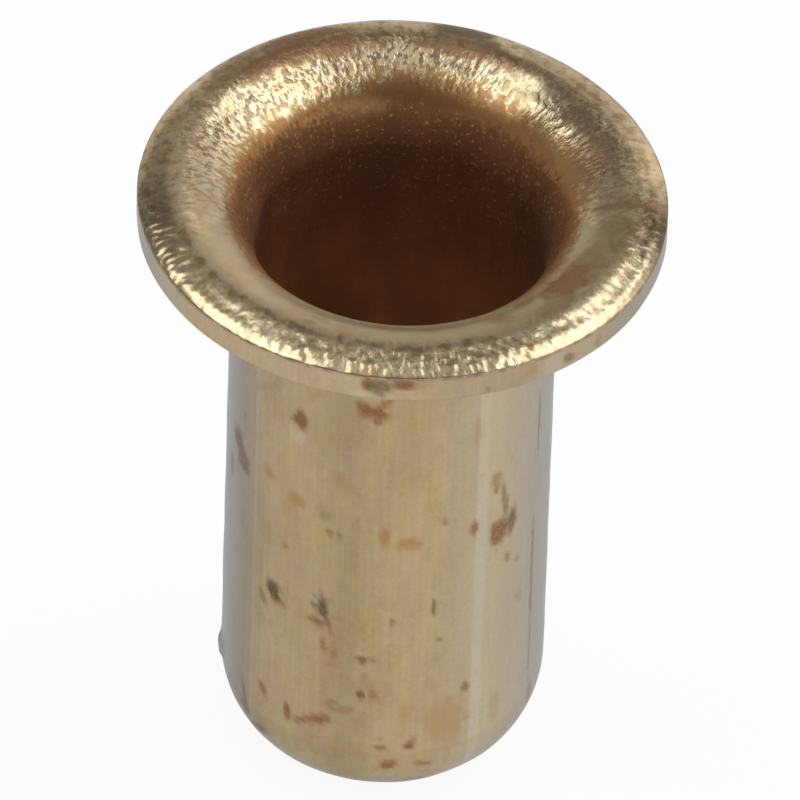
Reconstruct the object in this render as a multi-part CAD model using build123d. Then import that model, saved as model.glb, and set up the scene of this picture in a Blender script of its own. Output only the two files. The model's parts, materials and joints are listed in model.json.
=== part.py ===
from build123d import *
import math
import os

# Hollow rivet, drawn and rolled in one piece from thin brass strip.
# All sizes are in millimetres and all angles in degrees.
# Frame: the rivet's axis is Z, the flange is up, the tip ring rests on Z = 0,
# and the origin is the middle of the tip ring.

# Strip and shank
wall = 0.28                   # thickness of the shank and nose, where the strip is drawn thin
flange_thickness = 0.41       # thickness of the flange, where the strip keeps its own
shank_diameter = 5.0          # outside of the straight shank
length_under_flange = 10.15   # tip ring to the lowest edge of the flange

# Flange: a rounded throat, a flat ring, and a lip turned down at the rim
flange_overhang = 1.54        # rim beyond the shank's outside, all round
flat_width = 0.27             # flat ring on top, between the throat and the lip
lip_bend_radius = 0.07        # underside of the lip's bend
lip_turn_down = 38.0          # slope of the lip at the rim
seat_land = 0.05              # flat coined on the rim's lower edge
throat_fillet = 0.80          # outside fillet between shank and flange

# Closed-in tip
nose_radius = 1.55            # outside of the rounded nose
tip_turn_in = 0.62            # pierced edge inside the bore's wall
tip_ring_width = 0.23         # flat ring round the pierced hole


def arc_between(start, end, centre):
    """A circular arc from start to end round centre, the short way."""
    reach = math.hypot(start[0] - centre[0], start[1] - centre[1])
    middle_x = (start[0] + end[0]) / 2 - centre[0]
    middle_z = (start[1] + end[1]) / 2 - centre[1]
    stretch = reach / math.hypot(middle_x, middle_z)
    middle = (centre[0] + middle_x * stretch, centre[1] + middle_z * stretch)
    return ThreePointArc(start, middle, end)


def strip_section():
    """Half section of the rivet on XZ: X is the distance from the axis."""
    shank_radius = shank_diameter / 2
    bore_radius = shank_radius - wall
    rim_radius = shank_radius + flange_overhang

    # The lip's top bends down from the flat ring to a sharp crease at the rim
    down_sin = math.sin(math.radians(lip_turn_down))
    down_cos = math.cos(math.radians(lip_turn_down))
    lip_top_radius = lip_bend_radius + flange_thickness
    lip_start = rim_radius - lip_top_radius * down_sin
    rim_height = (flange_thickness - seat_land * down_sin) / down_cos
    crease_height = length_under_flange + rim_height
    flat_height = crease_height + lip_top_radius * (1 - down_cos)
    under_height = flat_height - flange_thickness
    lip_centre = (lip_start, flat_height - lip_top_radius)

    # The throat opens from the bore to the flat ring, and thickens on the way
    throat_end = lip_start - flat_width
    throat_radius = throat_end - bore_radius
    throat_centre = (throat_end, flat_height - throat_radius)
    fillet_end = shank_radius + throat_fillet
    fillet_centre = (fillet_end, under_height - throat_fillet)

    # The nose closes in round one centre, and is pierced and flattened at the tip
    hole_radius = bore_radius - tip_turn_in
    ring_radius = hole_radius + tip_ring_width
    nose_inner_radius = nose_radius - wall
    nose_centre_radius = shank_radius - nose_radius
    nose_height = math.sqrt(nose_radius**2 - (ring_radius - nose_centre_radius) ** 2)
    nose_centre = (nose_centre_radius, nose_height)
    hole_top = nose_height - math.sqrt(
        nose_inner_radius**2 - (hole_radius - nose_centre_radius) ** 2
    )

    # Corners in order: up the inside, over the lip, and down the outside
    hole_low = (hole_radius, 0)
    hole_high = (hole_radius, hole_top)
    bore_low = (bore_radius, nose_height)
    bore_high = (bore_radius, throat_centre[1])
    flat_inside = (throat_end, flat_height)
    flat_outside = (lip_start, flat_height)
    crease = (rim_radius, crease_height)
    rim_low = (rim_radius, length_under_flange)
    land_inside = (rim_radius - seat_land, length_under_flange)
    lip_under = (
        lip_start + lip_bend_radius * down_sin,
        lip_centre[1] + lip_bend_radius * down_cos,
    )
    under_outside = (lip_start, under_height)
    under_inside = (fillet_end, under_height)
    shank_high = (shank_radius, fillet_centre[1])
    shank_low = (shank_radius, nose_height)
    ring_outside = (ring_radius, 0)

    with BuildSketch(Plane.XZ) as section:
        with BuildLine():
            Line(hole_low, hole_high)
            arc_between(hole_high, bore_low, nose_centre)
            Line(bore_low, bore_high)
            arc_between(bore_high, flat_inside, throat_centre)
            Line(flat_inside, flat_outside)
            arc_between(flat_outside, crease, lip_centre)
            Line(crease, rim_low)
            Line(rim_low, land_inside)
            Line(land_inside, lip_under)
            arc_between(lip_under, under_outside, lip_centre)
            Line(under_outside, under_inside)
            arc_between(under_inside, shank_high, fillet_centre)
            Line(shank_high, shank_low)
            arc_between(shank_low, ring_outside, nose_centre)
            Line(ring_outside, hole_low)
        make_face()
    return section.sketch


def hollow_rivet():
    """The strip's section turned once round the rivet's axis."""
    with BuildPart() as rivet:
        add(strip_section())
        revolve(axis=Axis.Z)
    return rivet.part


os.makedirs("parts", exist_ok=True)
export_step(hollow_rivet(), "parts/hollow_rivet.step")
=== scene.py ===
import json
import math
from types import SimpleNamespace

import bpy
import numpy as np
from mathutils import Matrix, Vector, noise


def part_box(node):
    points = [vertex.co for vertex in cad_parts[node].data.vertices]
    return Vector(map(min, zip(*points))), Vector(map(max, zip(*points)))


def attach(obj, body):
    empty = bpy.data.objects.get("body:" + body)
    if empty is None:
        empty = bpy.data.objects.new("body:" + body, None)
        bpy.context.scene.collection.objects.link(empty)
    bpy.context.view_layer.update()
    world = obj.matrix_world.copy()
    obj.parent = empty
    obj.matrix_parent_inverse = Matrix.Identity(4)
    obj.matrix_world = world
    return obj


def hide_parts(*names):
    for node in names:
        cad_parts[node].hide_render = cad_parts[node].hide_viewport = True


# Looks of a drawn brass hollow rivet. Lengths are in millimetres until a mesh, a light
# or the camera is made, where MM turns them into metres; angles are in degrees.
# Azimuth is counted from the rivet's near side (-Y), positive towards +X.

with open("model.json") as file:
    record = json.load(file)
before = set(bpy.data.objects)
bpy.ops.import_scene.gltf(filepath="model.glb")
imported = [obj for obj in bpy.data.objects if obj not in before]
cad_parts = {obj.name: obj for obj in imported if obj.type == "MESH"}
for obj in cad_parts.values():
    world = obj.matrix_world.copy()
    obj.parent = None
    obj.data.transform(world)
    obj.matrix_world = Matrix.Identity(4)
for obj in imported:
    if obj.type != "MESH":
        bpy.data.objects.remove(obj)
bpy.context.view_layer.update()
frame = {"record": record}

MM = 0.001
NODE = "hollow_rivet"


# ---------------------------------------------------------------- sizes

def mount(name):
    """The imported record's mount of that name."""
    return next(m for m in frame["record"]["mounts"] if m["name"] == name)


box_low, box_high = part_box(NODE)
rim_radius = box_high.x / MM
flat_height = box_high.z / MM
seat_height = mount("flange_seat")["pos_m"][2] / MM
shank_radius = mount("shank")["dims"]["r_mm"]
bore_radius = mount("bore")["dims"]["r_mm"]
wall = shank_radius - bore_radius

# The section's other driving sizes
flange_thickness = 0.41
flat_width = 0.27             # flat ring on top, between the throat and the lip
lip_bend_radius = 0.07        # underside of the lip's bend
lip_turn_down = 38.0          # slope of the lip at the rim
seat_land = 0.05              # flat on the rim's lower edge
throat_fillet = 0.80          # outside fillet between shank and flange
nose_radius = 1.55
tip_turn_in = 0.62            # pierced edge inside the bore's wall
tip_ring_width = 0.23         # flat ring round the pierced hole

lip_top_radius = lip_bend_radius + flange_thickness
lip_start = rim_radius - lip_top_radius * math.sin(math.radians(lip_turn_down))
crease_height = flat_height - lip_top_radius * (1 - math.cos(math.radians(lip_turn_down)))
throat_end = lip_start - flat_width
throat_radius = throat_end - bore_radius


def arc(centre, radius, start, end, steps):
    """Points of an arc; 0 degrees is straight up from centre and 90 is outwards."""
    angles = np.radians(np.linspace(start, end, steps + 1))
    return [(centre[0] + radius * math.sin(a), centre[1] + radius * math.cos(a)) for a in angles]


def line(start, end, steps):
    """Points of a straight stretch."""
    return [
        (start[0] + (end[0] - start[0]) * t, start[1] + (end[1] - start[1]) * t)
        for t in np.linspace(0, 1, steps + 1)
    ]


TURNS = 360                   # faces round the axis
FINE_TURNS = 720              # and on the flange's grained top
THROAT_SPLIT = -62.0          # where down the throat the fine rows start

TOP = ("throat", "flat", "lip")
OUTSIDE = ("rim", "shank", "nose")
UNDERSIDE = ("land", "lip_under", "bend_under", "flat_under", "fillet", "ring")


def strip_section():
    """The strip's closed half section as (stretch name, faces round, points), in order
    from the pierced hole up the inside, over the lip and down the outside. The last
    number of each line and arc is its rows of faces."""
    lip_centre = (lip_start, flat_height - lip_top_radius)
    under_height = flat_height - flange_thickness
    throat_centre = (throat_end, flat_height - throat_radius)
    fillet_end = shank_radius + throat_fillet
    fillet_centre = (fillet_end, under_height - throat_fillet)
    lip_under = arc(lip_centre, lip_bend_radius, lip_turn_down, 0, 2)
    lip_top = arc(lip_centre, lip_top_radius, 0, lip_turn_down, 8)
    crease = lip_top[-1]
    rim_low = (rim_radius, seat_height)
    land_inside = (rim_radius - seat_land, seat_height)

    hole_radius = bore_radius - tip_turn_in
    ring_radius = hole_radius + tip_ring_width
    nose_inner_radius = nose_radius - wall
    nose_centre_radius = shank_radius - nose_radius
    nose_height = math.sqrt(nose_radius**2 - (ring_radius - nose_centre_radius) ** 2)
    nose_centre = (nose_centre_radius, nose_height)
    inner_end = math.degrees(math.acos((hole_radius - nose_centre_radius) / nose_inner_radius))
    outer_end = math.degrees(math.acos((ring_radius - nose_centre_radius) / nose_radius))
    hole_top = nose_height - nose_inner_radius * math.sin(math.radians(inner_end))
    return [
        ("hole", TURNS, line((hole_radius, 0), (hole_radius, hole_top), 2)),
        ("nose_inside", TURNS, arc(nose_centre, nose_inner_radius, 90 + inner_end, 90, 7)),
        ("bore", TURNS, line((bore_radius, nose_height), (bore_radius, throat_centre[1]), 10)),
        ("throat", TURNS, arc(throat_centre, throat_radius, -90, THROAT_SPLIT, 6)),
        ("throat", FINE_TURNS, arc(throat_centre, throat_radius, THROAT_SPLIT, 0, 30)),
        ("flat", FINE_TURNS, line((throat_end, flat_height), (lip_start, flat_height), 6)),
        ("lip", FINE_TURNS, lip_top),
        ("rim", TURNS, line(crease, rim_low, 7)),
        ("land", TURNS, line(rim_low, land_inside, 1)),
        ("lip_under", TURNS, line(land_inside, lip_under[0], 3)),
        ("bend_under", TURNS, lip_under),
        ("flat_under", TURNS, line(lip_under[-1], (fillet_end, under_height), 4)),
        ("fillet", TURNS, arc(fillet_centre, throat_fillet, 0, -90, 9)),
        ("shank", TURNS, line((shank_radius, fillet_centre[1]), (shank_radius, nose_height), 98)),
        ("nose", TURNS, arc(nose_centre, nose_radius, 90, 90 + outer_end, 20)),
        ("ring", TURNS, line((ring_radius, 0), (hole_radius, 0), 2)),
    ]


CORNER_REACH = 0.018          # how far a corner's rounding reaches along its faces
CORNER_TURN = 25.0            # a corner is rounded where the section turns by more


def eased_stations():
    """The section as one closed run of (name, faces round, place), corners rounded."""
    run = []
    for name, turns, points in strip_section():
        run += [(name, turns, Vector(p)) for p in points[1:]]
    stations = []
    for i, (name, turns, here) in enumerate(run):
        before = run[i - 1][2] - here
        after = run[(i + 1) % len(run)][2] - here
        if math.degrees(before.angle(-after)) < CORNER_TURN:
            stations.append((name, turns, here))
            continue
        one = here + before.normalized() * CORNER_REACH
        two = here + after.normalized() * CORNER_REACH
        stations += [(name, turns, p) for p in (one, here / 2 + (one + two) / 4, two)]
    return stations


def smooth(low, high, value):
    """0 up to low, 1 from high on and an even S between; low may be the larger."""
    t = np.clip((value - low) / (high - low), 0, 1)
    return t * t * (3 - 2 * t)


def noise_field(points, scale, octaves):
    """Fractal noise of about -1 to 1 at each point, coordinates times scale."""
    return np.array([noise.fractal(Vector(p), 0.6, 2.0, octaves) for p in points * scale])


def bell(value, middle, spread):
    """1 at middle, and about a third at one spread to either side of it."""
    return np.exp(-((value - middle) / spread) ** 2)


# ---------------------------------------------------------------- marks and painted shades

# Marks on the outside: azimuth, height above the tip, width round the rivet, length
# along the section, clockwise lean, strength
RUST = [
    (-32.8, 7.82, 0.25, 0.34, -15, 1.1),
    (-6.4, 10.46, 0.16, 0.26, 0, 0.9),
    (1.7, 10.50, 0.36, 0.24, 0, 0.9),
    (-2.8, 10.27, 0.12, 0.14, 0, 0.6),
    (20.1, 10.25, 0.09, 0.09, 0, 0.5),
    (48.6, 10.33, 0.13, 0.30, 0, 0.4),
    (-9.0, 8.47, 0.22, 0.20, 0, 0.85),
    (-5.4, 8.37, 0.44, 0.26, 5, 1.0),
    (-4.0, 8.22, 0.14, 0.22, 0, 0.8),
    (-1.8, 8.55, 0.16, 0.40, 40, 0.7),
    (43.5, 5.34, 0.34, 0.56, 10, 1.0),
    (46.2, 5.95, 0.13, 0.90, -8, 0.7),
    (32.8, 5.68, 0.14, 0.28, 0, 0.85),
    (48.8, 4.68, 0.12, 0.16, 0, 0.65),
    (54, 4.48, 0.10, 0.12, 0, 0.6),
    (-46.5, 1.78, 0.16, 0.26, -25, 0.8),
    (-35.0, 1.63, 0.13, 0.30, -8, 0.9),
    (-25.0, 1.70, 0.34, 0.17, -26, 0.85),
    (-21.0, 1.79, 0.32, 0.16, -24, 1.0),
    (-13.5, 2.08, 0.44, 0.13, -24, 0.45),
    (-2.5, 2.46, 0.18, 0.18, 0, 0.55),
    (31.3, 2.38, 0.12, 0.22, 0, 0.9),
    (10.5, 1.38, 0.17, 0.14, -20, 1.0),
    (12.0, 1.46, 0.09, 0.16, 20, 0.6),
    (0.2, 1.36, 0.18, 0.10, 0, 0.8),
    (4, 0.97, 0.30, 0.18, -30, 1.0),
    (16, 0.93, 0.30, 0.11, 10, 0.8),
    (40, 10.36, 0.17, 0.19, 0, 0.8),
    (-38.8, 3.82, 0.14, 0.22, -30, 0.55),
    (-22.8, 3.76, 0.16, 0.24, 0, 0.55),
    (-7, 2.46, 0.15, 0.19, 0, 0.9),
    (50, 5.36, 0.22, 0.42, 5, 0.7),
    (64.8, 3.90, 0.08, 2.10, 0, 0.5),
    (66.3, 6.90, 0.05, 1.30, 0, 0.4),
]
TAN = [
    (-46.5, 6.36, 0.24, 0.28, 0, 0.8),
    (-33, 6.14, 0.24, 0.26, 0, 0.8),
    (-36, 5.90, 0.34, 0.60, 0, 0.3),
    (-16, 6.78, 0.26, 0.30, 20, 0.4),
    (-38.2, 5.06, 0.15, 0.17, -30, 0.9),
    (-16.2, 3.98, 0.24, 0.13, -10, 0.75),
    (-11.3, 3.90, 0.15, 0.13, 10, 0.6),
    (-21.2, 3.34, 0.13, 0.30, -8, 0.75),
    (-17.2, 3.34, 0.18, 0.50, 0, 0.7),
    (-17.8, 2.96, 0.26, 0.14, -25, 0.6),
    (-12.6, 2.80, 0.16, 0.12, 0, 0.4),
    (-0.2, 5.80, 0.18, 0.36, 0, 0.95),
    (8, 5.66, 0.40, 0.20, 0, 0.8),
    (42, 6.45, 0.22, 0.38, 0, 0.85),
    (56, 3.66, 0.18, 0.26, 0, 0.35),
    (32.5, 7.70, 0.12, 0.60, 0, 0.4),
    (24, 1.76, 0.66, 0.90, 0, 0.5),
    (-18, 3.50, 0.34, 0.80, 0, 0.3),
    (8.5, 2.10, 0.34, 0.30, 0, 0.3),
    (32, 1.68, 0.14, 0.14, 0, 0.5),
    (45, 1.65, 0.22, 0.60, 0, 0.3),
    (30.3, 10.42, 0.20, 0.26, 0, 0.55),
    (5.0, 10.50, 0.40, 0.16, 0, 0.35),
    (-8, 1.30, 0.80, 0.20, 0, 0.25),
]
UMBER = [
    (-33.0, 7.90, 0.10, 0.16, 0, 0.4),
    (-66.5, 6.34, 0.34, 0.44, -35, 0.8),
    (-62.5, 6.06, 0.36, 0.38, -35, 0.8),
    (-62, 7.02, 0.08, 0.16, 0, 0.4),
    (50, 5.44, 0.22, 0.40, 5, 0.75),
    (-7, 2.46, 0.14, 0.18, 0, 0.3),
    (-35.2, 1.74, 0.09, 0.14, 0, 0.5),
    (-30.0, 1.58, 0.22, 0.14, -25, 0.55),
    (-57.5, 1.30, 0.10, 0.50, -20, 0.6),
    (-57, 1.02, 0.26, 0.34, -20, 0.6),
    (-50, 0.82, 0.50, 0.20, -25, 0.7),
    (-17.5, 2.17, 0.22, 0.12, -20, 0.5),
    (66.3, 6.90, 0.05, 1.30, 0, 0.5),
    (64.8, 3.90, 0.07, 2.10, 0, 0.35),
    (65.0, 2.20, 0.06, 1.10, 0, 0.45),
    (67, 1.20, 0.20, 0.50, 0, 0.4),
    (0.0, 1.56, 0.14, 0.08, 0, 0.35),
    (-21.6, 3.36, 0.10, 0.20, -12, 0.4),
    (-17.0, 3.22, 0.11, 0.18, 0, 0.35),
    (14.8, 0.38, 0.50, 0.10, 0, 0.5),
]
SLATE = [
    (-4.0, 10.47, 0.34, 0.32, 0, 0.8),
    (-42.9, 4.02, 0.26, 0.26, -30, 1.05),
    (-41.9, 3.90, 0.23, 0.24, -30, 1.0),
    (-48.0, 3.72, 0.14, 0.30, -30, 0.5),
    (-21.9, 4.22, 0.17, 0.20, 0, 0.9),
    (-21.7, 4.06, 0.18, 0.24, -10, 0.95),
    (-19.6, 4.27, 0.20, 0.08, 0, 0.5),
    (-22.6, 4.42, 0.06, 0.20, 0, 0.3),
    (-24.9, 4.32, 0.10, 0.14, 0, 0.4),
    (-25.0, 4.12, 0.15, 0.15, 0, 0.65),
    (-25.0, 3.82, 0.20, 0.16, 0, 0.6),
    (-20.0, 3.86, 0.11, 0.24, -20, 0.6),
    (-18.8, 3.62, 0.08, 0.14, 0, 0.35),
    (-7, 3.20, 0.20, 0.14, 0, 0.9),
    (-4.0, 3.18, 0.22, 0.07, 0, 0.9),
    (3.2, 4.02, 0.10, 0.12, 0, 0.6),
    (18, 4.25, 0.08, 0.30, 0, 0.8),
    (17.6, 4.80, 0.05, 0.50, 0, 0.25),
    (20.5, 3.54, 0.14, 0.08, 20, 0.5),
    (21, 6.02, 0.10, 0.10, 0, 0.55),
    (24, 6.02, 0.34, 0.04, 0, 0.3),
    (42, 6.26, 0.09, 0.12, 30, 0.5),
    (-20, 5.72, 0.12, 0.12, 0, 0.5),
    (-16.4, 5.70, 0.08, 0.16, 0, 0.4),
    (-22, 6.04, 0.20, 0.20, 0, 0.25),
    (-7, 2.45, 0.08, 0.10, 0, 0.7),
    (1.2, 10.50, 0.30, 0.20, 0, 0.35),
    (10.8, 1.38, 0.10, 0.10, 0, 0.5),
    (-23.2, 3.98, 0.24, 0.10, 25, 0.4),
    (-73, 5.60, 0.20, 0.40, 0, 0.4),
]
BURR = [(-85, 1.30, 0.50, 0.20, 0, 1.0)]
PALE = [
    (-7.3, 10.22, 0.30, 0.16, 0, 0.5),
    (-7.0, 8.72, 0.26, 0.16, 0, 0.5),
    (-1.5, 10.26, 0.30, 0.14, 30, 0.4),
    (-33.5, 7.45, 0.30, 0.30, 0, 0.35),
]
# Marks on the flange's top: azimuth, distance from the axis, and the rest as above
LIP_TAN = [
    (41, 2.78, 0.50, 0.24, 0, 0.5),
    (30, 3.00, 0.60, 0.30, 0, 0.25),
    (77, 3.38, 0.80, 0.50, 0, 0.3),
    (-14.8, 3.20, 0.30, 0.26, 0, 0.4),
    (-28, 3.10, 0.50, 0.30, 0, 0.2),
    (116, 2.76, 1.10, 0.34, 0, 0.75),
    (-164, 2.50, 0.80, 0.34, 0, 0.25),
    (-156, 3.34, 1.00, 0.13, 0, 0.6),
]
LIP_BROWN = [
    (-161, 3.46, 0.80, 0.40, 0, 1.1),
    (-150, 3.50, 0.90, 0.42, 0, 1.2),
    (-140.5, 3.52, 0.90, 0.40, 0, 1.1),
    (-130, 3.64, 0.80, 0.30, 0, 0.7),
    (-154, 3.82, 1.50, 0.40, 0, 1.0),
    (-138, 3.84, 1.10, 0.34, 0, 0.7),
    (-170, 3.42, 0.60, 0.30, 0, 0.7),
    (166, 3.46, 0.80, 0.40, 0, 0.9),
    (174, 3.44, 0.50, 0.24, 0, 0.7),
    (153, 3.42, 0.60, 0.30, 0, 0.7),
    (110, 2.95, 0.90, 0.60, 0, 0.8),
    (42, 2.87, 0.50, 0.26, 0, 0.6),
    (55, 3.10, 1.00, 0.60, 0, 1.15),
    (46, 3.34, 0.80, 0.30, 0, 0.5),
    (64, 3.12, 0.80, 0.50, 0, 0.6),
    (72, 3.46, 0.50, 0.40, 0, 0.25),
    (30, 3.11, 0.36, 0.24, 0, 0.45),
    (65.8, 3.30, 0.40, 0.30, 0, 0.6),
    (89, 3.42, 0.16, 1.00, 0, 0.8),
    (-24, 3.28, 0.20, 0.14, 0, 0.5),
    (-22, 3.12, 0.30, 0.16, 0, 0.35),
    (-112, 3.45, 0.30, 0.26, 0, 0.5),
]
LIP_SLATE = [
    (171, 3.52, 0.50, 0.36, 0, 0.9),
    (167.5, 3.86, 0.95, 0.44, 0, 1.1),
    (161.5, 3.60, 0.60, 0.40, 0, 0.95),
    (149, 3.56, 0.50, 0.24, 0, 0.55),
    (136, 3.40, 0.70, 0.30, 0, 0.9),
    (125, 3.26, 0.80, 0.46, 0, 1.0),
    (112, 3.28, 0.80, 0.46, 0, 1.0),
    (98, 3.28, 0.70, 0.34, 0, 0.5),
    (79, 3.16, 0.40, 0.30, 0, 0.4),
]


# Painted shade on the flange's top, dimming its reflections, and painted light where the
# strength is below zero: azimuth, spread, strength, and the distances from the axis where
# it fades in and fades out
PAST_RIM = (5.0, 6.0)         # no fading out
TOP_PAINTED_SHADES = [
    (-126, 15, -0.28, (3.50, 3.62), PAST_RIM),
    (-92, 36, -0.34, (3.26, 3.40), (3.52, 3.66)),
    (-86, 20, 0.32, (2.52, 2.74), (3.10, 3.30)),
    (-80, 13, 0.45, (3.46, 3.60), PAST_RIM),
    (12, 16, 0.20, (3.50, 3.62), PAST_RIM),
    (80, 10, 0.16, (3.88, 3.98), PAST_RIM),
    (85, 14, 0.62, (3.60, 3.84), PAST_RIM),
    (100, 9, -0.26, (3.26, 3.40), PAST_RIM),
    (113, 9, 0.34, (2.96, 3.06), (3.20, 3.30)),
    (133, 26, 0.22, (3.54, 3.66), PAST_RIM),
    (139, 5.5, 0.42, (2.96, 3.06), (3.26, 3.36)),
]


# ---------------------------------------------------------------- the rivet's mesh

SHANK_OFFSET = -0.0855        # the shank stands this far off the flange's middle, along X
FLANGE_TILT = 1.03            # the flange dips this much towards +X
DIP_REACH = (8.8, 9.7)        # heights between which the shank runs into the tilted flange

CRESTS_ROUND = 23.0           # crests of the grain in each radian round the axis
CRESTS_OUT = 2.6              # and in each millimetre of the section
GRAIN_START_FAR = 2.45        # how far from the axis the grain starts on the far side
GRAIN_START_NEAR = 3.39       # and on the near side
LIP_REACH = (3.50, 3.68)      # distances from the axis over which the lip takes over
DULL_RING = 3.49              # distance from the axis of the dull ring
BROWN_SLOPE = 38.0            # slope of the throat where its brown tarnish starts
LOBES = (-45, 55)             # azimuths of the near lip's two bright lobes
LOBE_SPREAD = 18.0
MARK_SOFTNESS = (0.15, 0.75)  # a mark runs from nothing to full between these

WAVE_DEPTH = 0.006            # soft waves sink the skin by up to twice this
OPENED_DEPTH = 0.075          # how far the throat is opened out on its far side
BURR_HEIGHT = 0.05
EARLY_DROOP = (3.43, 3.76)    # distances from the axis over which the lip droops
MIDDLE_DROOP = (3.58, 3.84)
LATE_DROOP = (3.93, 4.02)


class Skin:
    """The turned section's points before their relief, row by row and round the axis,
    with the shares of side and stretch that the finishes and the relief use."""

    def __init__(self):
        stations = eased_stations()
        self.names = [name for name, _, _ in stations]
        self.counts = [turns for _, turns, _ in stations]
        self.section = np.array([p for _, _, p in stations])
        steps = np.roll(self.section, -1, 0) - self.section
        self.run = np.concatenate([[0], np.cumsum(np.hypot(*steps.T))])[:-1]
        tangent = np.roll(self.section, -1, 0) - np.roll(self.section, 1, 0)
        normal = np.stack([-tangent[:, 1], tangent[:, 0]], 1)
        normal /= np.hypot(*normal.T)[:, None]

        self.azimuth = np.concatenate([np.arange(n) * 360 / n - 180 for n in self.counts])
        turn = np.radians(self.azimuth)
        self.out_x, self.out_y = np.sin(turn), -np.cos(turn)
        self.radius = self.grid(self.section[:, 0])
        self.height = self.grid(self.section[:, 1])
        self.along = self.grid(self.run)
        self.normal_out = self.grid(normal[:, 0])
        self.normal_up = self.grid(normal[:, 1])

        # Uneven fields: soft waves, ragged edges and the grain's crests
        here = np.stack([self.out_x * self.radius, self.out_y * self.radius, self.height], 1)
        spokes = [self.out_x * CRESTS_ROUND, self.out_y * CRESTS_ROUND, self.along * CRESTS_OUT]
        self.waves = noise_field(here, 1.1, 2)
        self.ragged = noise_field(here, 6.0, 3)
        self.crests = np.abs(noise_field(np.stack(spokes, 1), 1.0, 2))

        # 1 on the near side and -1 on the far side, the second a little round to the right
        self.facing = np.cos(turn)
        self.toward = np.cos(np.radians(self.azimuth - 3))

        # Shares from 0 to 1, the angle from the back and the slope down the throat
        self.near = smooth(0.0, 0.6, self.facing)
        self.far = smooth(-0.35, 0.3, -self.facing)
        self.behind = smooth(100, 150, np.abs(self.azimuth))
        self.off_back = 180 - np.abs(self.azimuth)
        self.lobes = sum(bell(self.azimuth, middle, LOBE_SPREAD) for middle in LOBES)
        self.top = self.is_in(*TOP)
        self.throat = self.is_in("throat")
        self.rim = self.is_in("rim")
        self.lip = smooth(*LIP_REACH, self.radius)
        inward = np.clip((throat_end - self.radius) / throat_radius, 0, 1)
        self.slope = np.degrees(np.arcsin(inward))

    def grid(self, column):
        """One value for each row, given to all the row's points."""
        return np.repeat(column, self.counts)

    def is_in(self, *stretches):
        """1 on the named stretches of the section, 0 elsewhere."""
        return self.grid(np.array([name in stretches for name in self.names], float))

    def stains(self, marks, group, unevenness=0.25):
        """How far marks cover each point of a group of stretches, from 0 to about 1. On
        the top a mark's place is its distance from the axis, outside it is its height."""
        chosen = np.array([name in group for name in self.names])
        level = self.section[chosen, 0 if group is TOP else 1]
        order = np.argsort(level)
        level, run = level[order], self.run[chosen][order]
        total = np.zeros_like(self.along)
        for middle, where, width, length, lean, strength in marks:
            turn = (self.azimuth - middle + 180) % 360 - 180
            u = np.radians(turn) * self.radius
            v = self.along - np.interp(where, level, run)
            near = np.hypot(u, v) < 1.5 * max(width, length)
            u, v = u[near], v[near]
            c, s = math.cos(math.radians(lean)), math.sin(math.radians(lean))
            p, q = (u * c + v * s) / (width / 2), (v * c - u * s) / (length / 2)
            core = np.exp(-0.8 * (p * p + q * q)) + unevenness * self.ragged[near]
            total[near] = np.maximum(total[near], strength * smooth(*MARK_SOFTNESS, core))
        return total * self.is_in(*group)


def grain_fields(skin):
    """Shares of the flange's grain and of the dull flecks in it."""
    # The near side of the throat is smooth
    nearness = smooth(-0.05, 0.45, skin.toward + 0.12 * skin.waves)
    start = GRAIN_START_FAR + (GRAIN_START_NEAR - GRAIN_START_FAR) * nearness
    grain = skin.top * smooth(start - 0.12, start + 0.12, skin.radius + 0.10 * skin.ragged)

    # Flecks thin out on the lip's near and far sides, on the throat's near side, at the
    # near lobes, in a patch at the far right, down the throat and on the left
    flecks = grain * (1 - skin.lip * (0.55 * skin.near + 0.95 * skin.far))
    flecks *= 1 - 0.85 * (1 - skin.lip) * smooth(-0.5, 0.3, skin.toward)
    flecks *= 1 - 0.6 * skin.lobes * skin.lip
    flecks *= 1 - 0.45 * bell(skin.azimuth, 145, 12)
    flecks *= 1 - 0.75 * smooth(30, 46, skin.slope)
    flecks *= 1 - 0.7 * bell(skin.azimuth, -92, 36) * smooth(3.22, 3.40, skin.radius)
    return {"grain": grain, "flecks": flecks}


def tarnish_and_painted_shade_fields(skin):
    """Shares of the throat's brown, partly tarnish and partly painted shade; of the painted dark
    of the bore and the steep throat; of the painted shade along the flat ring and the crease;
    and of the dirt on the top.
    """
    # The brown, partly tarnish and partly painted shade of the dim room's reflection, starts
    # higher up at the back and on the far right
    start = BROWN_SLOPE - 5 * bell(skin.off_back, 0, 25)
    start -= 8 * smooth(70, 110, skin.azimuth % 360) * smooth(200, 180, skin.azimuth % 360)
    inside = skin.is_in("hole", "nose_inside", "bore")

    # Painted shade on the flat ring, standing in for its dark reflection, fades out where it
    # leaves the near left
    ring = bell(skin.radius, DULL_RING, 0.12) * smooth(40, 0, np.abs(skin.azimuth + 25) - 35)
    from_crease = np.hypot(skin.radius - rim_radius, skin.height - crease_height)
    return {
        "brown": skin.throat * smooth(-14, 14, skin.slope - start + 5 * skin.ragged),
        # Painted shade in the bore, and the steep throat's painted dark reflection of it
        "inside": inside + skin.throat * smooth(40, 66, skin.slope),
        "film": skin.throat * smooth(20, 36, skin.slope) * smooth(-0.1, 0.4, skin.toward),
        "dull": ring * skin.top * (0.70 + 0.9 * skin.ragged),
        "soil": skin.top * smooth(3.35, 3.50, skin.radius) * (1 - skin.near),
        # Painted shade: a dark line along the lip's crease
        "crease": smooth(0.045, 0.012, from_crease) * (0.5 + 0.5 * skin.ragged),
    }


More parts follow.
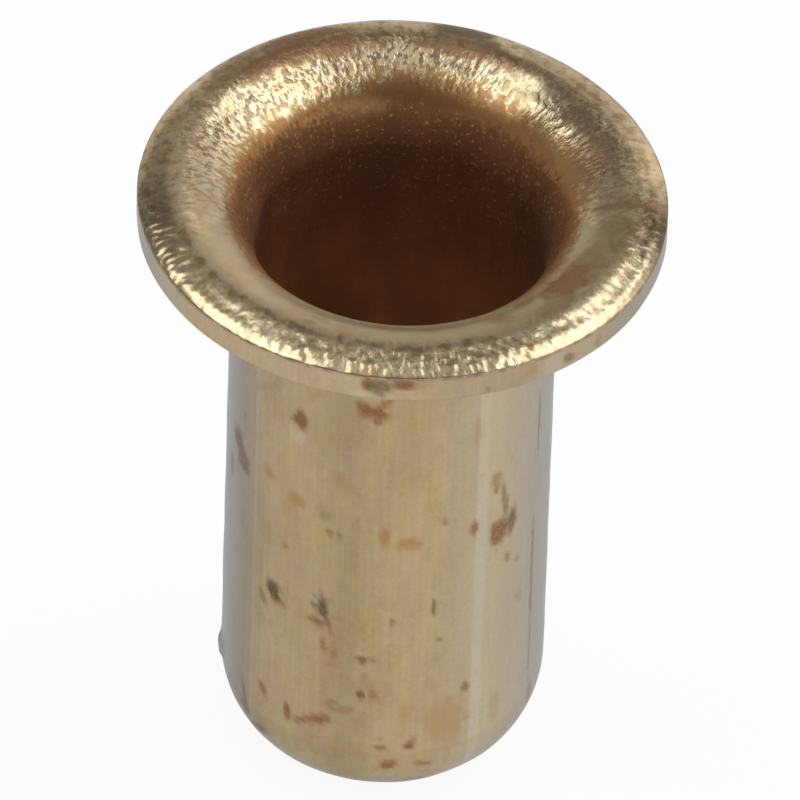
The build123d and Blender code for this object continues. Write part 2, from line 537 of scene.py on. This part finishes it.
def painted_side_reflections(skin):
    """Shares of the painted reflections down the outside: pale streaks with some pale marks and
    a paler rim, and the grey painted reflection on the sides.
    """
    azimuth = skin.azimuth

    # Painted reflection: a broad pale streak with a sharp one in it on the right, a hairline on
    # the left, and the rim a little paler
    pale = 0.55 * bell(azimuth, 42, 17)
    pale += 0.30 * smooth(33, 34, azimuth) * smooth(39, 37, azimuth)
    pale += 0.35 * bell(azimuth, -53.5, 0.8)
    pale = np.maximum(pale, 0.18 * skin.rim)

    # Painted grey reflection to the right and, in two steps, to the left, and a little grey at
    # the back
    grey = 0.7 * smooth(40, 72, azimuth)
    grey += 0.24 * smooth(-51, -57, azimuth) + 0.56 * smooth(-54, -76, azimuth)
    grey += (0.30 - grey) * skin.behind
    outer = skin.is_in(*OUTSIDE, *UNDERSIDE)
    return {"pale": outer * np.maximum(pale, skin.stains(PALE, OUTSIDE)), "grey": outer * grey}


def painted_shade_field(skin):
    """Painted shade, and painted light where it is below zero: how much darker each point
    is, as a share of its colour.
    """
    azimuth = skin.azimuth

    # Painted shade in bands down the shank, on the nose, on the rim at the near right and on
    # the throat's far side
    sides = 0.17 * bell(azimuth, -60, 13) + 0.12 * bell(azimuth, -14, 10)
    sides += 0.04 - 0.10 * smooth(48, 60, azimuth)
    shade = (1 - skin.behind) * (sides * skin.is_in("shank", "nose") + 0.06 * skin.is_in("nose"))
    shade += 0.12 * skin.rim * smooth(0, 14, azimuth) * smooth(70, 50, azimuth)
    shade += 0.42 * skin.throat * bell(skin.off_back, 0, 21) * smooth(20, 38, skin.slope)
    for middle, spread, strength, fade_in, fade_out in TOP_PAINTED_SHADES:
        reach = smooth(*fade_in, skin.radius) * (1 - smooth(*fade_out, skin.radius))
        shade += strength * skin.top * bell(azimuth, middle, spread) * reach
    return shade


def relief(skin, grain):
    """How deep each point sinks along its normal and how far it drops along the axis.
    Only the burr on the shank stands proud, so the rivet keeps its overall size."""
    azimuth, radius, facing = skin.azimuth, skin.radius, skin.facing

    # Soft waves all over, and a throat opened out on the far side down into the bore
    depth = WAVE_DEPTH * (1 + skin.waves)
    opened = (azimuth < 0) * smooth(0.1, 0.6, -facing)
    opened += (azimuth >= 0) * smooth(0.58, 0.82, -facing)
    opened *= skin.is_in(*TOP, "bore") * smooth(7.9, 9.3, skin.height)
    depth += OPENED_DEPTH * opened * smooth(3.62, 3.10, radius)

    # The gaps between the grain's crests, deepest on the lip's near side
    gap_depth = 0.004 - 0.002 * skin.far + 0.009 * skin.lip * smooth(-0.1, 0.35, facing)
    gap_depth *= smooth(rim_radius, rim_radius - 0.05, radius) * (1 - 0.6 * skin.lobes)
    depth += grain * gap_depth * smooth(0.40, 0.0, skin.crests)
    depth = np.maximum(depth, 0) - BURR_HEIGHT * skin.stains(BURR, OUTSIDE, unevenness=0)

    # The lip droops in three stages on its way out, and takes the rim's upper edge along:
    # early on the near side and the far right, then all round and most at the near right
    # and left, and late at the near right only
    early = (0.020 + 0.010 * skin.lobes) * smooth(0.1, 0.5, facing)
    early += 0.020 * smooth(88, 105, azimuth) * smooth(168, 150, azimuth)
    middle = 0.018 + 0.030 * bell(azimuth, 60, 17) + 0.014 * bell(azimuth, -40, 17)
    late = 0.020 * bell(azimuth, 68, 11)
    up_rim = skin.rim * smooth(seat_height, crease_height, skin.height)
    drop = 0
    for amount, reach in ((early, EARLY_DROOP), (middle, MIDDLE_DROOP), (late, LATE_DROOP)):
        drop += amount * (skin.top * smooth(*reach, radius) + up_rim)
    return depth, drop


def rivet_mesh():
    """The strip's section turned round the axis, with its relief, finishes, marks and painted
    shade.
    """
    skin = Skin()
    fields = grain_fields(skin) | tarnish_and_painted_shade_fields(skin) | painted_side_reflections(skin)
    fields |= {
        "crests": skin.crests,
        "top": skin.top,
        "along": skin.along,
        "shade": painted_shade_field(skin),
        "rust": skin.stains(RUST, OUTSIDE),
        "tan": skin.stains(TAN, OUTSIDE) + skin.stains(LIP_TAN, TOP),
        "umber": skin.stains(UMBER, OUTSIDE),
        "slate": skin.stains(SLATE, OUTSIDE) + skin.stains(LIP_SLATE, TOP),
        "lip_brown": skin.stains(LIP_BROWN, TOP),
    }
    depth, drop = relief(skin, fields["grain"])
    radius = skin.radius - depth * skin.normal_out
    height = skin.height - depth * skin.normal_up - drop

    # The shank's offset and the flange's tilt
    in_flange = smooth(*DIP_REACH, height)
    x = skin.out_x * radius + SHANK_OFFSET * (1 - in_flange)
    y = skin.out_y * radius
    z = height - (x + lip_start) * math.tan(math.radians(FLANGE_TILT)) * in_flange

    mesh = bpy.data.meshes.new("rivet_skin")
    mesh.from_pydata((np.stack([x, y, z], 1) * MM).tolist(), [], faces_between(skin.counts))
    mesh.polygons.foreach_set("use_smooth", [True] * len(mesh.polygons))
    for name, values in fields.items():
        mesh.attributes.new(name, "FLOAT", "POINT").data.foreach_set("value", values)
    mesh.update()
    return mesh


def faces_between(counts):
    """Faces between neighbouring rows, closed both ways round. Where one row has twice
    the points of the other, each face takes in one more of them."""
    starts = np.concatenate([[0], np.cumsum(counts)])
    faces = []
    for row, count in enumerate(counts):
        following = (row + 1) % len(counts)
        steps = min(count, counts[following])
        here, there = count // steps, counts[following] // steps
        for i in range(steps):
            near = [starts[row] + (i * here + k) % count for k in range(here + 1)]
            far = [starts[following] + (i * there + k) % counts[following]
                   for k in range(there, -1, -1)]
            faces.append([int(v) for v in near + far])
    return faces


# ---------------------------------------------------------------- materials

class Nodes:
    """The node tree of a material or world, with short calls for the nodes used here."""

    def __init__(self, owner):
        owner.use_nodes = True
        self.tree = owner.node_tree
        self.tree.nodes.clear()

    def add(self, kind, inputs=None, **settings):
        """A node; an input is either another node's socket or a plain value."""
        node = self.tree.nodes.new(kind)
        for name, value in settings.items():
            setattr(node, name, value)
        for name, value in (inputs or {}).items():
            if isinstance(value, bpy.types.NodeSocket):
                self.tree.links.new(value, node.inputs[name])
            else:
                node.inputs[name].default_value = value
        return node

    def maths(self, operation, one, two):
        return self.add("ShaderNodeMath", {0: one, 1: two}, operation=operation).outputs[0]

    def product(self, *factors):
        """Any number of values multiplied together."""
        total = factors[0]
        for factor in factors[1:]:
            total = self.maths("MULTIPLY", total, factor)
        return total

    def highest(self, *values):
        """The highest of any number of values."""
        top = values[0]
        for value in values[1:]:
            top = self.maths("MAXIMUM", top, value)
        return top

    def vector(self, operation, one, two=(0, 0, 0)):
        return self.add("ShaderNodeVectorMath", {0: one, 1: two}, operation=operation).outputs[0]

    def attribute(self, name):
        return self.add("ShaderNodeAttribute", attribute_name=name).outputs["Fac"]

    def noise(self, place, scale, detail, roughness):
        return self.add("ShaderNodeTexNoise", {"Vector": place, "Scale": scale,
                        "Detail": detail, "Roughness": roughness}).outputs["Fac"]

    def step(self, value, low, high, to_low=0.0, to_high=1.0):
        """value eased from low..high to to_low..to_high."""
        return self.add("ShaderNodeMapRange", {"Value": value, "From Min": low, "From Max": high,
                        "To Min": to_low, "To Max": to_high},
                        interpolation_type="SMOOTHSTEP").outputs["Result"]

    def blend(self, share, one, two, mode="MIX"):
        node = self.add("ShaderNodeMix", data_type="RGBA", blend_type=mode)
        for socket, value in ((0, share), (6, one), (7, two)):
            if isinstance(value, bpy.types.NodeSocket):
                self.tree.links.new(value, node.inputs[socket])
            else:
                node.inputs[socket].default_value = value if socket == 0 else (*value, 1.0)
        return node.outputs[2]

    def shade(self, colour, amount):
        """colour multiplied by one number all over."""
        grey = self.add("ShaderNodeCombineColor", {0: amount, 1: amount, 2: amount})
        return self.blend(1.0, colour, grey.outputs[0], "MULTIPLY")


# Linear colours: the shank and rim
BRASS = (0.460, 0.352, 0.180)
TAN_BRASS = (0.468, 0.342, 0.200)
# PALE_BRASS also gives the shank's painted pale streaks of reflection
PALE_BRASS = (0.58, 0.50, 0.37)
# the grey of the painted reflection on the shank's sides
GREY_REFLECTION_BRASS = (0.375, 0.345, 0.310)
# the flange's grained top, its dull places (painted shade with some grime), the throat's
# brown (partly tarnish, partly painted shade) and the bore's painted shade and light
LIP_BRASS = (0.59, 0.47, 0.290)
LIP_WARM = (0.55, 0.40, 0.220)
LIP_SHADE_AND_GRIME = (0.22, 0.142, 0.085)
TOP_BRASS = (0.455, 0.352, 0.203)
THROAT_GOLD = (0.38, 0.235, 0.095)
THROAT_BROWN = (0.30, 0.142, 0.050)
BORE_RIM = (0.175, 0.070, 0.025)
BORE_BROWN = (0.25, 0.095, 0.034)
BORE_DEEP = (0.43, 0.195, 0.068)
BORE_SPECK = (0.56, 0.33, 0.14)
# and the stains
RUST_COLOUR = (0.29, 0.138, 0.046)
TAN_COLOUR = (0.38, 0.220, 0.090)
UMBER_COLOUR = (0.20, 0.115, 0.085)
SLATE_COLOUR = (0.148, 0.096, 0.049)
LIP_BROWN_COLOUR = (0.27, 0.148, 0.072)
EDGE_TINT = (0.70, 0.74, 0.80, 1.0)

FLECKS_ROUND = 37.0           # fine flecks in each radian round the axis
FLECK_LENGTH = 0.13           # how far a fleck reaches along the section
BUMP_DEPTH = 0.015


def mesh_fields(n):
    """The fields that the mesh carries, as sockets."""
    names = ("grain", "flecks", "crests", "crease", "brown", "dull", "inside", "along",
             "pale", "grey", "shade", "top", "film", "soil")
    return SimpleNamespace(**{name: n.attribute(name) for name in names})


def patterns(n, along):
    """Noise that several finishes share. Soft noise is even in all directions, lines run
    down the shank, and grit is stretched along the section."""
    place = n.vector("SCALE", n.add("ShaderNodeTexCoord").outputs["Object"])
    place.node.inputs["Scale"].default_value = 1 / MM
    drawn = n.vector("MULTIPLY", place, (3.2, 3.2, 0.9))
    flat = n.vector("NORMALIZE", n.vector("MULTIPLY", place, (1, 1, 0)))
    spoke = n.vector("MULTIPLY", flat, (FLECKS_ROUND, FLECKS_ROUND, 0))
    outward = n.add("ShaderNodeCombineXYZ", {"Z": n.maths("DIVIDE", along, FLECK_LENGTH)})
    return SimpleNamespace(
        place=place,
        height=n.add("ShaderNodeSeparateXYZ", {0: place}).outputs["Z"],
        mottle=n.noise(place, 3.2, 4, 0.65),
        fine=n.noise(place, 16.0, 3, 0.6),
        lines=n.noise(drawn, 1.0, 3, 0.55),
        clouds=n.noise(n.vector("MULTIPLY", place, (1.3, 1.3, 0.5)), 1.0, 4, 0.6),
        grit=n.noise(n.vector("ADD", spoke, outward.outputs[0]), 1.0, 2, 0.5),
    )


def shank_colour(n, f, p):
    """Olive brass clouded with tan and paler brass, with painted pale streaks of reflection
    and greyer at its sides by painted reflection.
    """
    colour = n.blend(n.step(p.lines, 0.36, 0.64), BRASS, TAN_BRASS)
    colour = n.blend(n.product(n.step(p.mottle, 0.45, 0.75), 0.14), colour, PALE_BRASS)
    patches = n.noise(n.vector("MULTIPLY", p.place, (2.6, 2.6, 1.8)), 1.0, 4, 0.65)
    colour = n.blend(n.product(n.step(patches, 0.50, 0.68), 0.26), colour, TAN_COLOUR)
    streaks = n.noise(n.vector("MULTIPLY", p.place, (12, 12, 0.6)), 1.0, 2, 0.5)
    colour = n.shade(colour, n.step(streaks, 0.35, 0.65, 0.975, 1.03))
    colour = n.shade(colour, n.step(p.clouds, 0.35, 0.65, 0.93, 1.04))
    # Painted reflections: the pale streaks and the grey sides
    colour = n.blend(f.pale, colour, PALE_BRASS)
    colour = n.blend(f.grey, colour, GREY_REFLECTION_BRASS)
    return n.shade(colour, n.step(p.fine, 0.3, 0.7, 0.97, 1.03))


def top_colour(n, f, p):
    """Smooth brass on the near side, and grain with bright crests elsewhere: warmer in
    patches, darker in its gaps and flecks with some grime and painted shade, painted shade
    along the flat ring, and brown in blotches."""
    grained = n.blend(n.step(p.mottle, 0.40, 0.62), LIP_BRASS, LIP_WARM)
    # The gaps and pits: painted shade with some grime; the flat ring: painted shade
    gaps = n.product(n.step(f.crests, 0.10, 0.0), f.flecks, 0.6)
    pits = n.product(n.step(p.grit, 0.53, 0.42), f.flecks, 0.9)
    ring = n.product(n.step(n.maths("ADD", f.dull, p.mottle), 0.75, 1.50), 0.62)
    grained = n.blend(n.highest(gaps, pits, ring), grained, LIP_SHADE_AND_GRIME)
    blotches = n.step(n.noise(p.place, 6.0, 4, 0.65), 0.46, 0.64)
    grained = n.blend(n.product(blotches, f.soil, 0.6), grained, LIP_BROWN_COLOUR)
    smooth_brass = n.blend(n.step(p.lines, 0.36, 0.64, 0.0, 0.3), TOP_BRASS, TAN_COLOUR)
    return n.blend(f.grain, smooth_brass, grained)


def bore_colour(n, p):
    """Painted shade and light in the bore: dark brown at the mouth and lighter further down,
    where less light reaches, specked with gold.
    """
    colour = n.blend(n.step(p.height, 9.6, 7.6), BORE_RIM, BORE_BROWN)
    colour = n.blend(n.step(p.height, 8.6, 6.5), colour, BORE_DEEP)
    speck = n.maths("ADD", p.fine, n.step(p.height, 7.0, 9.8, 0.0, 0.05))
    colour = n.blend(n.step(speck, 0.60, 0.86), colour, BORE_SPECK)
    return n.shade(colour, n.step(p.clouds, 0.35, 0.65, 0.85, 1.12))


def ragged_edge(n, share, spots, start, end, solid):
    """A share whose edge is broken up by spots, kept off where the share is nothing and
    whole from solid to 1."""
    broken = n.step(n.maths("ADD", share, spots), start, end)
    broken = n.product(broken, n.step(share, 0.0, 0.2))
    return n.maths("MAXIMUM", broken, n.step(share, solid, 1.0))


def tarnished_brass():
    """Satin drawn brass: soft clouds on the shank, stretched grain on the lip, a brown throat
    and bore, and the stains, painted shade and painted reflections that the mesh's fields place."""
    material = bpy.data.materials.new("tarnished_brass_finish")
    n = Nodes(material)
    f = mesh_fields(n)
    p = patterns(n, f.along)

    # Brown tarnish, partly painted shade, and the painted dark of the bore and the steep
    # throat, both with spotted edges
    specks = n.maths("ADD", n.product(p.grit, 0.4), n.product(n.noise(p.place, 10.0, 3, 0.65), 0.6))
    spots = n.product(n.maths("SUBTRACT", 0.5, specks), 3.4)
    tarnish = n.maths("MAXIMUM", n.step(n.maths("ADD", f.brown, spots), 0.15, 0.85),
                      n.step(f.brown, 0.75, 1.0))
    dark = ragged_edge(n, f.inside, spots, 0.10, 0.90, 0.9)
    tint = n.blend(n.step(f.brown, 0.35, 1.0), THROAT_GOLD, THROAT_BROWN)

    colour = n.blend(f.top, shank_colour(n, f, p), top_colour(n, f, p))
    colour = n.blend(n.product(tarnish, n.step(f.brown, 0.0, 0.2)), colour, tint)
    # Painted shade and painted light from the mesh's shade field
    colour = n.shade(colour, n.maths("SUBTRACT", 1.0, f.shade))
    colour = n.blend(dark, colour, bore_colour(n, p))
    # Painted shade along the lip's crease
    colour = n.blend(f.crease, colour, UMBER_COLOUR)

    # Stains
    covers = {}
    for name, stain in (("tan", TAN_COLOUR), ("rust", RUST_COLOUR), ("slate", SLATE_COLOUR),
                        ("umber", UMBER_COLOUR), ("lip_brown", LIP_BROWN_COLOUR)):
        covers[name] = n.product(n.attribute(name), n.step(p.fine, 0.30, 0.65, 0.78, 1.1))
        colour = n.blend(covers[name], colour, stain)
    stained = n.highest(covers["rust"], covers["slate"], covers["umber"],
                        n.product(covers["lip_brown"], 0.5))

    # Stains, tarnish and dirt are rougher and less metallic than the brass
    rough = n.step(f.grain, 0.0, 1.0, 0.34, 0.22)
    rough = n.maths("ADD", rough, n.product(n.maths("MAXIMUM", stained, dark), 0.20))
    rough = n.maths("ADD", rough, n.product(tarnish, f.brown, 0.10))
    soiled = n.highest(n.product(tarnish, f.brown, 0.5), n.product(dark, 0.8),
                       n.product(f.film, 0.9), n.product(stained, 0.6))
    metal = n.step(soiled, 0.0, 1.0, 1.0, 0.45)

    height = n.maths("ADD", n.product(p.grit, f.flecks), n.product(p.fine, 0.10))
    bump = n.add("ShaderNodeBump", {"Strength": 1.0, "Distance": BUMP_DEPTH * MM,
                                    "Height": height})
    shader = n.add("ShaderNodeBsdfPrincipled", {
        "Base Color": colour, "Metallic": metal, "Roughness": rough,
        "Specular Tint": EDGE_TINT, "Normal": bump.outputs[0],
    })
    n.add("ShaderNodeOutputMaterial", {"Surface": shader.outputs[0]})
    return material


FLOOR_COLOUR = (0.86, 0.86, 0.86, 1)
FLOOR_GLOW = 0.92             # how white the floor looks in pictures and in the brass


def pale_floor():
    """A matt white floor, whiter to the camera and in reflections, that keeps shadows."""
    material = bpy.data.materials.new("pale_floor")
    n = Nodes(material)
    matt = n.add("ShaderNodeBsdfDiffuse", {"Color": FLOOR_COLOUR})
    glow = n.add("ShaderNodeEmission", {"Color": (1, 1, 1, 1), "Strength": 1.0})
    rays = n.add("ShaderNodeLightPath").outputs
    seen = n.highest(rays["Is Camera Ray"], rays["Is Glossy Ray"], rays["Is Transmission Ray"])
    mix = n.add("ShaderNodeMixShader", {0: n.product(seen, FLOOR_GLOW)})
    n.tree.links.new(matt.outputs[0], mix.inputs[1])
    n.tree.links.new(glow.outputs[0], mix.inputs[2])
    n.add("ShaderNodeOutputMaterial", {"Surface": mix.outputs[0]})
    return material


# ---------------------------------------------------------------- the piece

def make_rivet():
    rivet = bpy.data.objects.new("rivet_skin", rivet_mesh())
    bpy.context.scene.collection.objects.link(rivet)
    rivet.data.materials.append(tarnished_brass())
    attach(rivet, "root")
    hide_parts(NODE)


# ---------------------------------------------------------------- stage, light, camera

FLOOR_SIDE = 900.0
LAMP_COLOUR = (0.87, 0.99, 1.08)
SOFTBOXES = {                 # place, sides and watts
    "softbox_left": ((-112, 18, 233), (205, 120), 0.18),
    "softbox_right": ((138, 46, 212), (200, 150), 0.22),
}
HORIZON_LEFT = 0.42           # how much brighter the room is round the horizon
HORIZON_RIGHT = 0.85
HORIZON_TOP = (0.27, 0.54)    # heights of the direction over which that fades upwards
HORIZON_RISE = 0.24           # how much higher it reaches on the right
ROOM_DIM, ROOM_OVERHEAD = 0.32, 0.74
OVERHEAD = (0.80, 0.985)      # heights of the direction over which the room pales again

VIEW_ELEVATION = 42.86
VIEW_DISTANCE = 307.0
VIEW_ROLL = 1.948             # the picture's upright leans this much to the right
VIEW_LENS = 902.4
AIM = (0.0622, 0.0, 6.3547)   # the point of the rivet in the middle of the picture


def make_floor():
    mesh = bpy.data.meshes.new("floor")
    half = FLOOR_SIDE / 2 * MM
    corners = [(-half, -half, 0), (half, -half, 0), (half, half, 0), (-half, half, 0)]
    mesh.from_pydata(corners, [], [(0, 1, 2, 3)])
    floor = bpy.data.objects.new("floor", mesh)
    mesh.materials.append(pale_floor())
    bpy.context.scene.collection.objects.link(floor)


def make_softbox(name, place, size, watts):
    """A rectangular lamp that faces the rivet's flange."""
    lamp = bpy.data.lights.new(name, "AREA")
    lamp.shape = "RECTANGLE"
    lamp.size, lamp.size_y = size[0] * MM, size[1] * MM
    lamp.energy = watts
    lamp.color = LAMP_COLOUR
    holder = bpy.data.objects.new(name, lamp)
    bpy.context.scene.collection.objects.link(holder)
    where = Vector(place) * MM
    target = Vector((0, 0, seat_height)) * MM
    holder.location = where
    holder.rotation_euler = (where - target).to_track_quat("Z", "Y").to_euler()


def make_world():
    """A room that is pale round the horizon, more so on the right, dim higher up and
    pale again overhead."""
    world = bpy.data.worlds.new("studio")
    bpy.context.scene.world = world
    n = Nodes(world)
    direction = n.add("ShaderNodeTexCoord").outputs["Generated"]
    parts = n.add("ShaderNodeSeparateXYZ", {0: direction}).outputs
    right = n.step(parts["X"], -0.15, 0.35)
    up = n.maths("SUBTRACT", parts["Z"], n.product(right, HORIZON_RISE))
    horizon = n.step(right, 0.0, 1.0, HORIZON_LEFT, HORIZON_RIGHT)
    horizon = n.product(n.step(up, *HORIZON_TOP, 1.0, 0.0), horizon)
    strength = n.maths("ADD", horizon, n.step(parts["Z"], *OVERHEAD, ROOM_DIM, ROOM_OVERHEAD))
    sky = n.add("ShaderNodeBackground", {"Color": (1, 1, 1, 1), "Strength": strength})
    n.add("ShaderNodeOutputWorld", {"Surface": sky.outputs[0]})


def make_camera():
    camera = bpy.data.cameras.new("camera")
    camera.lens = VIEW_LENS
    camera.sensor_width = 36
    camera.clip_end = 10
    holder = bpy.data.objects.new("camera", camera)
    bpy.context.scene.collection.objects.link(holder)
    up = math.radians(VIEW_ELEVATION)
    back = Vector((0, -math.cos(up), math.sin(up)))
    aim = Vector(AIM) * MM
    holder.location = aim + back * VIEW_DISTANCE * MM
    turn = back.to_track_quat("Z", "Y").to_matrix().to_4x4()
    holder.rotation_euler = (turn @ Matrix.Rotation(math.radians(VIEW_ROLL), 4, "Z")).to_euler()
    bpy.context.scene.camera = holder


make_rivet()
make_floor()
for name, (place, size, watts) in SOFTBOXES.items():
    make_softbox(name, place, size, watts)
make_world()
make_camera()
bpy.context.scene.view_settings.view_transform = "Standard"
